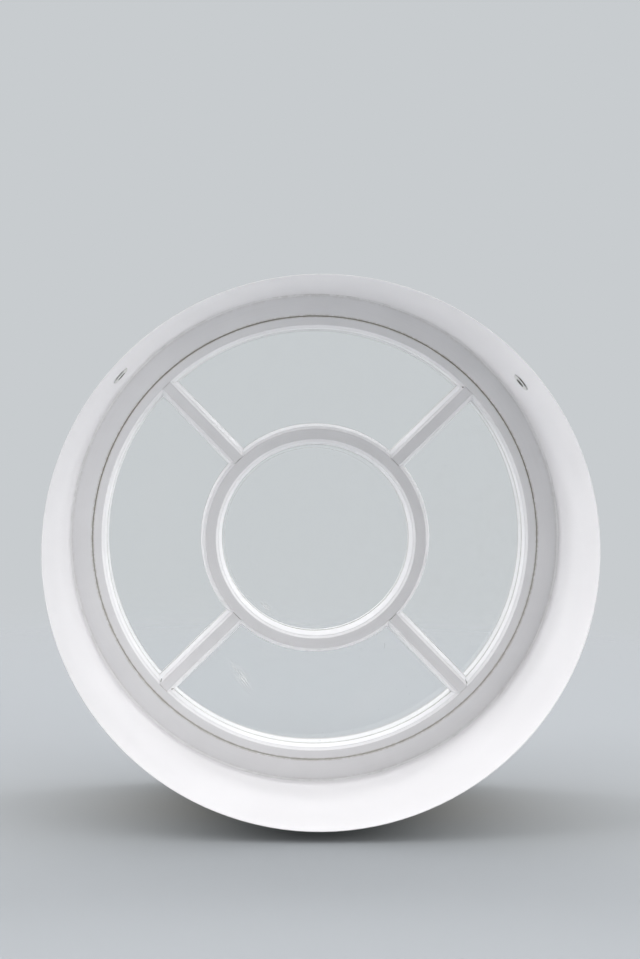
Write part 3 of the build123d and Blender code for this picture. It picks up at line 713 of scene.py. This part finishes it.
def spotPaint():
    # both spots share one frame: height above the lining and distance from the spot's axis
    mat, tree, shader = newMaterial("spotPaint")
    place = objectPlace(tree)
    x, y, z = splitVector(tree, place)
    outward, across = turned(tree, calc(tree, "ABSOLUTE", x), z, spot["angle"])
    height = calc(tree, "SUBTRACT", window["liningRadius"] * mm, outward)
    along = calc(tree, "SUBTRACT", y, spot["depth"] * mm)
    far = vectorCalc(tree, "LENGTH", joinVector(tree, across, along, 0.0), out="Value")
    fine = noise(tree, place, 2200.0, 2.0, 0.5)
    broad = noise(tree, place, 160.0, 2.0, 0.5)
    colour = mixColour(tree, ramp(tree, broad, 0.3, 0.7), spot["coat"], spot["coatShade"])
    # painted shadow: a grey band round the rim's foot, seen on its room side
    low = ramp(tree, height, (spot["gasketTop"] - 0.1) * mm, (spot["gasketTop"] + 0.1) * mm, 1.0, 0.0)
    foot = calc(tree, "MULTIPLY", low, ramp(tree, far, spot["barrel"] * mm, (spot["barrel"] + 0.2) * mm))
    # the painted shadow at the foot is paler on the left spot, where more light falls, and fades towards the
    # sides of each
    first, last = (side * mm for side in spot["shadowSides"])
    dustAndShade = ramp(tree, calc(tree, "ABSOLUTE", across), first, last, 1.0, spot["shadowSideShare"])
    foot = calc(tree, "MULTIPLY", foot, dustAndShade)
    gasket = mixColour(tree, ramp(tree, x, -0.05, 0.05), spot["paleFootShadow"], spot["gasket"])
    colour = mixColour(tree, foot, colour, gasket)
    # painted shade: grey inside the aperture
    inside = ramp(tree, far, (spot["aperture"] - 0.06) * mm, (spot["aperture"] + 0.02) * mm, 1.0, 0.0)
    colour = mixColour(tree, inside, colour, spot["apertureShade"])
    below = ramp(tree, height, -0.0006, -0.0002, 1.0, 0.0)
    colour = mixColour(tree, below, colour, spot["tube"])
    rough = calc(tree, "ADD", 0.4, calc(tree, "MULTIPLY", calc(tree, "MAXIMUM", foot, inside), 0.3))
    setSurface(tree, shader, colour, rough, fine, 0.3, 0.00008)
    return mat


# seal in the gap between sash and frame
seal = {"rubber": rgb(150, 146, 134), "worn": rgb(126, 122, 111), "dust": rgb(214, 212, 206), "dustAndShade": 0.5}


def sealMatter():
    # rubber in two tones, with pale dust on its lower half
    mat, tree, shader = newMaterial("gapRubber")
    place = objectPlace(tree)
    cloud = noise(tree, place, 120.0, 4.0, 0.6)
    rubber = mixColour(tree, ramp(tree, cloud, 0.35, 0.68), seal["rubber"], seal["worn"])
    low = ramp(tree, splitVector(tree, place)["Z"], -0.2, 0.15, seal["dustAndShade"], 0.0)
    dustAndShade = calc(tree, "MULTIPLY", low, ramp(tree, noise(tree, place, 45.0, 3.0, 0.6), 0.25, 0.6, 0.5, 1.0))
    colour = mixColour(tree, dustAndShade, rubber, seal["dust"])
    setSurface(tree, shader, colour, ramp(tree, cloud, 0.3, 0.7, 0.74, 0.88), cloud, 0.4, 0.0003)
    return mat


dress(sealMatter(), "gap_seal")
dress(spotPaint(), "spot_rim_right", "spot_rim_left")
print("seals, fixings and spots done")

# panes: clear glass with a faint tint, which lets the studio's light straight through
glass = {
    "ior": 1.46, "tint": (0.985, 0.995, 0.99), "shade": (0.988, 0.992, 0.99),
    "haze": 0.035, "hazeScale": 22.0, "wave": 0.02, "waveScale": 7.0,
}


def paneGlass():
    mat, tree, shader = newMaterial("clearGlass")
    place = objectPlace(tree)
    haze = ramp(tree, noise(tree, place, glass["hazeScale"], 4.0, 0.6), 0.45, 0.8, 0.0, glass["haze"])
    wave = noise(tree, place, glass["waveScale"], 1.0, 0.5)
    setSurface(tree, shader, glass["tint"], haze, wave, glass["wave"], 0.002)
    shader.inputs["IOR"].default_value = glass["ior"]
    shader.inputs["Transmission Weight"].default_value = 1.0
    clear = addNode(tree, "ShaderNodeBsdfTransparent", {"Color": glass["shade"]})
    path = addNode(tree, "ShaderNodeLightPath").outputs
    straight = calc(tree, "MAXIMUM", path["Is Shadow Ray"], path["Is Diffuse Ray"])
    mix = addNode(tree, "ShaderNodeMixShader", {0: straight, 1: shader.outputs[0], 2: clear.outputs[0]})
    feed(tree, tree.nodes["Material Output"].inputs["Surface"], mix.outputs[0])
    return mat


dress(paneGlass(), "pane_centre", *[f"pane_{light}" for light in lights])
print("panes glazed")

# dust, wipe marks and a painted reflection on the room side of the panes, as thin clear plates just before
# the glass
film = {
    "gap": 0.04, "thick": 0.08, "inset": 0.15, "cap": 2.0, "across": 16, "round": 96,
    "dust": rgb(248, 248, 247), "hazeDust": rgb(226, 224, 218), "haze": 0.06, "hazeScale": 9.0,
    "specks": 0.85, "speckScale": 210.0,
    "ringCentre": (-0.0032, 0.00185), "ringRadius": 0.1663, "ringReach": 0.0009, "ringShare": 0.35,
}
# wipe marks: the middle of each in the window's plane, half length and half width in metres, turn and share
wipes = {
    "centreSmudge": {"place": (-0.0915, -0.130), "half": 0.017, "wide": 0.007, "turn": -40.0, "share": 0.60},
    "bottomStreak": {"place": (-0.135, -0.262), "half": 0.048, "wide": 0.016, "turn": -52.0, "share": 0.50},
    "rightScratch": {"place": (0.1325, -0.2015), "half": 0.0095, "wide": 0.0010, "turn": 90.0, "share": 0.8},
}


def plate(front, back, rows, columns, closed):
    # the same grid twice, front and back, with a wall along every open edge;
    # a closed one has flat caps in its middle
    grid = gridFaces(rows, columns, closed)
    total = rows * columns
    faces = np.concatenate([grid[:, ::-1], grid + total]).tolist()
    first, last = np.arange(rows) * columns, np.arange(rows) * columns + columns - 1
    if closed:
        faces += [first.tolist(), (first[::-1] + total).tolist()]
        ring = last
    else:
        ring = np.concatenate([np.arange(columns), last[1:],
                               np.arange(columns - 2, -1, -1) + (rows - 1) * columns, first[-2:0:-1]])
    after = np.roll(ring, -1)
    faces += np.stack([after, ring, ring + total, after + total], -1).tolist()
    return np.concatenate([front, back]), faces


def filmShape(turn):
    # radius from the ring's bead to the sash's, angle between the two bars' beads at that radius
    inner = window["ringOuter"] + window["barBeadWidth"] + film["inset"]
    outer = window["sashEdge"] - window["beadWidth"] - film["inset"]
    across, along = np.linspace(0, 1, film["across"]), np.linspace(0, 1, film["round"])
    radius = (inner + (outer - inner) * across)[None, :]
    edge = np.arcsin((window["barHalf"] + window["barBeadWidth"] + film["inset"]) / radius)
    angle = radians(turn) + edge + (pi / 2 - 2 * edge) * along[:, None]
    return radius * np.cos(angle), radius * np.sin(angle)


def filmPlate(name, x, z, closed, material):
    # the plate stands a hair before the glass, so its back is the nearer side to it
    behind = window["paneFace"] - film["gap"]
    front, back = (np.stack([x, np.full_like(x, y), z], -1).reshape(-1, 3) * mm
                   for y in (behind - film["thick"], behind))
    points, faces = plate(front, back, x.shape[0], x.shape[1], closed)
    piece = meshPiece(name, points, faces, material, smooth=False)
    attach(piece, "root")


def filmMatter():
    # the plate is clear but for haze, specks, a faint circle on the middle pane, which is a painted
    # reflection of the bead's edge, and a few wipe marks
    mat, tree, shader = newMaterial("paneDustAndReflection")
    place = objectPlace(tree)
    x, _, z = splitVector(tree, place)
    side = ramp(tree, calc(tree, "SUBTRACT", x, calc(tree, "MULTIPLY", z, 0.6)), 0.0, 0.4, 0.35, 1.0)
    haze = ramp(tree, noise(tree, place, film["hazeScale"], 4.0, 0.6), 0.35, 0.75, 0.0, film["haze"])
    cells = addNode(tree, "ShaderNodeTexVoronoi", {"Vector": place, "Scale": film["speckScale"]})
    chance = ramp(tree, splitVector(tree, cells.outputs["Color"])[0], 0.80, 0.97)
    speck = calc(tree, "MULTIPLY", ramp(tree, cells.outputs["Distance"], 0.05, 0.16, 1.0, 0.0), chance)
    dust = calc(tree, "ADD", haze, calc(tree, "MULTIPLY", speck, film["specks"]))
    alpha = calc(tree, "MULTIPLY", dust, side)
    # painted reflection: a faint broken circle on the middle pane
    dx = calc(tree, "SUBTRACT", x, film["ringCentre"][0])
    dz = calc(tree, "SUBTRACT", z, film["ringCentre"][1])
    far = vectorCalc(tree, "LENGTH", joinVector(tree, dx, dz, 0.0), out="Value")
    leftward = ramp(tree, calc(tree, "SUBTRACT", calc(tree, "MULTIPLY", dz, 0.25), dx), -0.13, 0.02)
    reflectionCircle = calc(tree, "MULTIPLY", near(tree, far, film["ringRadius"], film["ringReach"]), leftward)
    broken = ramp(tree, noise(tree, place, 40.0, 3.0, 0.5), 0.3, 0.6, 0.35, 1.0)
    reflectionCircle = calc(tree, "MULTIPLY", calc(tree, "MULTIPLY", reflectionCircle, broken), film["ringShare"])
    alpha = calc(tree, "MAXIMUM", alpha, reflectionCircle)
    for spec in wipes.values():
        along, across = fromSpot(tree, x, z, spec)
        long, wide = near(tree, along, 0.0, spec["half"]), near(tree, across, 0.0, spec["wide"])
        streaks = joinVector(tree, calc(tree, "MULTIPLY", along, 25.0),
                             calc(tree, "MULTIPLY", across, 420.0), 0.0)
        lines = ramp(tree, noise(tree, streaks, 1.0, 3.0, 0.6), 0.4, 0.62)
        body = calc(tree, "MULTIPLY", calc(tree, "MULTIPLY", long, wide), lines)
        alpha = calc(tree, "MAXIMUM", alpha, calc(tree, "MULTIPLY", body, spec["share"]))
    colour = mixColour(tree, haze, film["dust"], film["hazeDust"])
    setSurface(tree, shader, colour, ramp(tree, speck, 0.0, 1.0, 0.7, 0.95), speck, 0.3, 0.0001)
    feed(tree, shader.inputs["Alpha"], alpha)
    return mat


def makeFilms():
    dust = filmMatter()
    for number, light in enumerate(lights):
        x, z = filmShape(45 + 90 * number)
        filmPlate("paneDustAndReflection_" + light, x, z, False, dust)
    outer = window["ringInner"] - window["barBeadWidth"] - film["inset"]
    radius = np.linspace(film["cap"], outer, film["across"])[None, :]
    angle = np.linspace(0, 2 * pi, film["round"] + 1)[:-1, None]
    filmPlate("paneDustAndReflection_centre", radius * np.cos(angle), radius * np.sin(angle), True, dust)


makeFilms()
print("dust laid on the panes")
